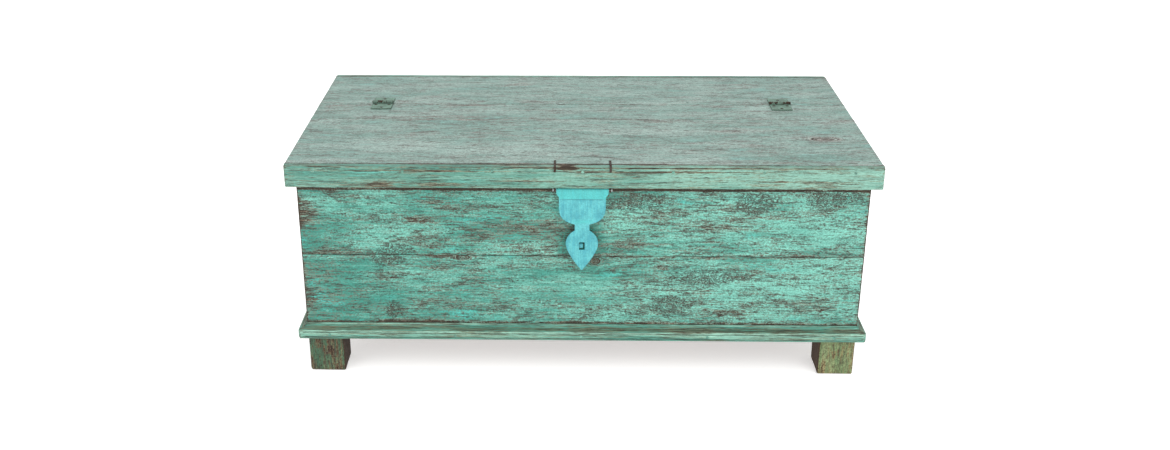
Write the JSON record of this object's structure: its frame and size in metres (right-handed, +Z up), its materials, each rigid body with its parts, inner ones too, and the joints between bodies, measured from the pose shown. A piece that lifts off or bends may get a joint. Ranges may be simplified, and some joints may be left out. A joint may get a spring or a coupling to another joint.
{
  "type": "wooden chest",
  "caption": "Low wooden storage chest in distressed green paint, with an overhanging hinged lid, a fixed rear top board, base moulding, block feet and a blue spade-shaped hasp.",
  "frame": {"origin": "on the floor, under the middle of the top", "axes": "+Z up, +X towards the chest's right-hand end as seen from the front, -Y out of the front with the hasp"},
  "size_m": [1.2, 0.6515, 0.4842],
  "materials": {
    "green_paint": "distressed turquoise-green paint over brown wood",
    "worn_top_paint": "thin, rubbed grey-green paint over brown wood",
    "foot_paint": "olive paint worn to brown wood",
    "bare_wood": "unpainted dark brown wood",
    "hasp_paint": "brushed sky-blue paint on iron",
    "iron": "dark iron with traces of paint",
    "fastener_steel": "dull steel, heads painted over"
  },
  "bodies": {
    "carcass": {"back_board_lower": "green_paint", "back_board_upper": "green_paint", "base_moulding_back": "green_paint", "base_moulding_front": "green_paint", "base_moulding_left": "green_paint", "base_moulding_right": "green_paint", "corner_post_front_left": "bare_wood", "corner_post_front_right": "bare_wood", "corner_post_rear_left": "bare_wood", "corner_post_rear_right": "bare_wood", "fixed_lip_back": "green_paint", "fixed_lip_left": "green_paint", "fixed_lip_right": "green_paint", "fixed_top_board": "worn_top_paint", "fixed_top_nails": "fastener_steel", "floor_board_front": "bare_wood", "floor_board_middle": "bare_wood", "floor_board_rear": "bare_wood", "floor_nails": "fastener_steel", "foot_front_left": "foot_paint", "foot_front_right": "foot_paint", "foot_rear_left": "foot_paint", "foot_rear_right": "foot_paint", "foot_screws": "fastener_steel", "front_board_lower": "green_paint", "front_board_upper": "green_paint", "hinge_left_fixed_leaf": "iron", "hinge_left_pin": "iron", "hinge_rail": "bare_wood", "hinge_right_fixed_leaf": "iron", "hinge_right_pin": "iron", "hinge_screws_fixed": "iron", "left_board_lower": "green_paint", "left_board_upper": "green_paint", "lock_tongue": "hasp_paint", "moulding_nails": "fastener_steel", "right_board_lower": "green_paint", "right_board_upper": "green_paint", "wall_nails": "fastener_steel"},
    "lid": {"lid_board_front": "worn_top_paint", "lid_board_rear": "worn_top_paint", "lid_lip_front": "green_paint", "lid_lip_left": "green_paint", "lid_lip_right": "green_paint", "lid_batten_left": "bare_wood", "lid_batten_right": "bare_wood", "hinge_left_lid_leaf": "iron", "hinge_right_lid_leaf": "iron", "hinge_screws_lid": "iron", "hasp_hinge_pin": "iron", "hasp_split_pin_left": "iron", "hasp_split_pin_right": "iron", "lid_nails": "fastener_steel", "batten_screws": "fastener_steel"},
    "hasp": {"hasp_plate": "hasp_paint"}
  },
  "joints": [
    {"name": "lid_hinge", "type": "hinge", "parent": "carcass", "child": "lid", "pos_m": [0, 0.087, 0.4802], "axis": [-1, 0, 0], "range_deg": [0, 180]},
    {"name": "hasp_swing", "type": "hinge", "parent": "lid", "child": "hasp", "pos_m": [0, -0.314, 0.42412], "axis": [-1, 0, 0], "range_deg": [-5, 90]}
  ]
}
